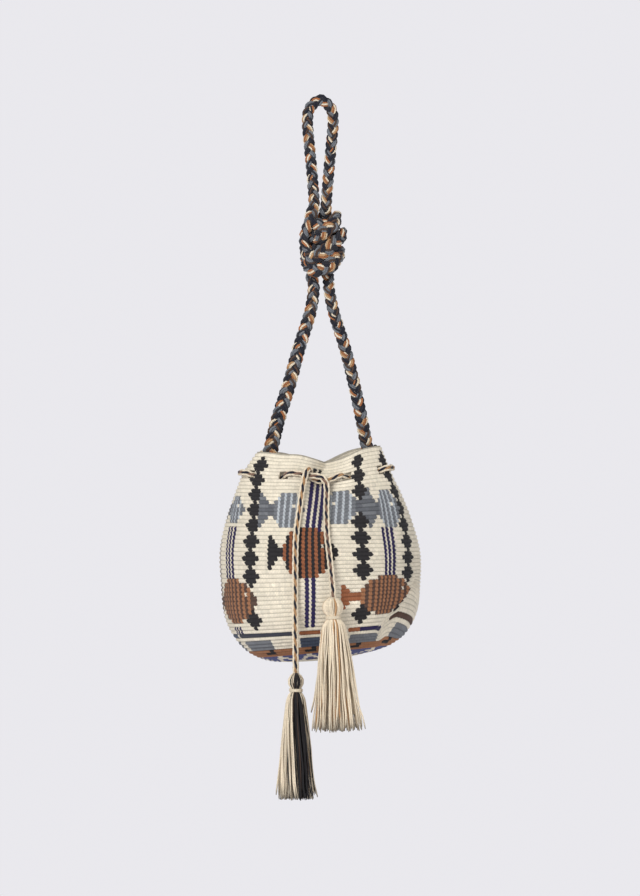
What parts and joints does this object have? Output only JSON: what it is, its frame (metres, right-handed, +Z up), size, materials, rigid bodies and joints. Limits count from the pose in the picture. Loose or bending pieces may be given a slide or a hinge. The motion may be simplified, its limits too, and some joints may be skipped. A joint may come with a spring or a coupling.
{
  "type": "crossbody bag",
  "caption": "Round-bottomed crocheted bucket bag with a gathered mouth, a knotted braided shoulder strap and a tasselled drawstring.",
  "frame": {"origin": "inside of the strap's loop at its top, where it rests on whatever holds the bag", "axes": "+Z up, the bag's front towards -Y, the strap's two ends apart along X"},
  "size_m": [0.2416, 0.2269, 0.8407],
  "materials": {
    "crochet_cotton": "matt cotton yarn crocheted in rounds, with stepped diamonds, stripes and bands in black, rust, tan, grey and navy",
    "strap_braid": "thick round braid of charcoal, grey, cream and rust yarn",
    "drawstring_braid": "slim flat braid of cream, tan, grey and dark yarn",
    "tassel_left_yarn": "loose cotton yarn, black between cream",
    "tassel_right_yarn": "loose cream cotton yarn with a few tan and grey strands",
    "binding_yarn": "cream yarn wound round the neck"
  },
  "bodies": {
    "body": {"bag_body": "crochet_cotton", "strap": "strap_braid", "drawstring": "drawstring_braid"},
    "left_tassel": {"tassel_left": "tassel_left_yarn", "tassel_left_binding": "binding_yarn"},
    "right_tassel": {"tassel_right": "tassel_right_yarn", "tassel_right_binding": "binding_yarn"}
  },
  "joints": [
    {"name": "left_tassel_swing", "type": "hinge", "parent": "body", "child": "left_tassel", "pos_m": [-0.0288, -0.1025, -0.687], "axis": [-1, 0, 0], "range_deg": [-50, 70]},
    {"name": "right_tassel_swing", "type": "hinge", "parent": "body", "child": "right_tassel", "pos_m": [0.015, -0.1122, -0.599], "axis": [-1, 0, 0], "range_deg": [0, 70]}
  ]
}
